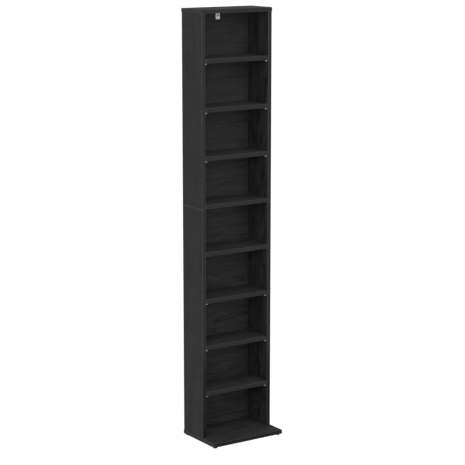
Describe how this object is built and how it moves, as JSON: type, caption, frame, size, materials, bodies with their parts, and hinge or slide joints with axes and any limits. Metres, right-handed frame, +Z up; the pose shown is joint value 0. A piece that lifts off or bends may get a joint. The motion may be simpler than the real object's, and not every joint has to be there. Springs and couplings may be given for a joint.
{
  "type": "disc storage tower",
  "caption": "Tall narrow open storage tower in black oak board: a foot plate, thin let-in back, loose shelves on steel pins, fixed middle shelves and an anti-tip bracket.",
  "frame": {"origin": "on the floor under the middle of the base board, which is the middle of the tower's width and depth", "axes": "+Z up, +X to the right of someone facing the open front, +Y from the open front to the back; the front is at -Y"},
  "size_m": [0.3, 0.206, 1.565],
  "materials": {
    "black_oak": "matt black foil with an oak grain on particle board, edge-banded",
    "black_back": "matt black foil with an oak grain on thin fibreboard",
    "bright_steel": "bright nickel-plated steel",
    "zinc": "dull zinc alloy and zinc-plated steel",
    "white_plastic": "moulded white plastic, half gloss",
    "black_plastic": "moulded black plastic"
  },
  "bodies": {
    "case": {"base_board": "black_oak", "top_panel": "black_oak", "left_side_lower": "black_oak", "right_side_lower": "black_oak", "left_side_upper": "black_oak", "right_side_upper": "black_oak", "back_panel_lower": "black_back", "back_panel_upper": "black_back", "fixed_shelf_4": "black_oak", "fixed_shelf_5": "black_oak", "shelf_1_pin_front_left": "bright_steel", "shelf_1_pin_front_right": "bright_steel", "shelf_1_pin_back_left": "bright_steel", "shelf_1_pin_back_right": "bright_steel", "shelf_2_pin_front_left": "bright_steel", "shelf_2_pin_front_right": "bright_steel", "shelf_2_pin_back_left": "bright_steel", "shelf_2_pin_back_right": "bright_steel", "shelf_3_pin_front_left": "bright_steel", "shelf_3_pin_front_right": "bright_steel", "shelf_3_pin_back_left": "bright_steel", "shelf_3_pin_back_right": "bright_steel", "shelf_6_pin_front_left": "bright_steel", "shelf_6_pin_front_right": "bright_steel", "shelf_6_pin_back_left": "bright_steel", "shelf_6_pin_back_right": "bright_steel", "shelf_7_pin_front_left": "bright_steel", "shelf_7_pin_front_right": "bright_steel", "shelf_7_pin_back_left": "bright_steel", "shelf_7_pin_back_right": "bright_steel", "shelf_8_pin_front_left": "bright_steel", "shelf_8_pin_front_right": "bright_steel", "shelf_8_pin_back_left": "bright_steel", "shelf_8_pin_back_right": "bright_steel", "glide_front_left": "black_plastic", "glide_front_right": "black_plastic", "glide_back_left": "black_plastic", "glide_back_right": "black_plastic", "base_screw_left_front": "zinc", "base_screw_left_back": "zinc", "base_screw_right_front": "zinc", "base_screw_right_back": "zinc", "cam_disc_left_front": "zinc", "cam_disc_left_back": "zinc", "cam_disc_right_front": "zinc", "cam_disc_right_back": "zinc", "cam_bolt_left_front": "bright_steel", "cam_bolt_left_back": "bright_steel", "cam_bolt_right_front": "bright_steel", "cam_bolt_right_back": "bright_steel", "anti_tip_bracket": "white_plastic", "bracket_wall_screw": "bright_steel", "bracket_top_screw": "bright_steel"},
    "shelf_1": {"loose_shelf_1": "black_oak"},
    "shelf_2": {"loose_shelf_2": "black_oak"},
    "shelf_3": {"loose_shelf_3": "black_oak"},
    "shelf_6": {"loose_shelf_6": "black_oak"},
    "shelf_7": {"loose_shelf_7": "black_oak"},
    "shelf_8": {"loose_shelf_8": "black_oak"}
  },
  "joints": [
    {"name": "shelf_1_draws_out", "type": "slide", "parent": "case", "child": "shelf_1", "axis": [0, -1, 0], "range_m": [0, 0.14]},
    {"name": "shelf_2_draws_out", "type": "slide", "parent": "case", "child": "shelf_2", "axis": [0, -1, 0], "range_m": [0, 0.14]},
    {"name": "shelf_3_draws_out", "type": "slide", "parent": "case", "child": "shelf_3", "axis": [0, -1, 0], "range_m": [0, 0.14]},
    {"name": "shelf_6_draws_out", "type": "slide", "parent": "case", "child": "shelf_6", "axis": [0, -1, 0], "range_m": [0, 0.14]},
    {"name": "shelf_7_draws_out", "type": "slide", "parent": "case", "child": "shelf_7", "axis": [0, -1, 0], "range_m": [0, 0.14]},
    {"name": "shelf_8_draws_out", "type": "slide", "parent": "case", "child": "shelf_8", "axis": [0, -1, 0], "range_m": [0, 0.14]}
  ]
}
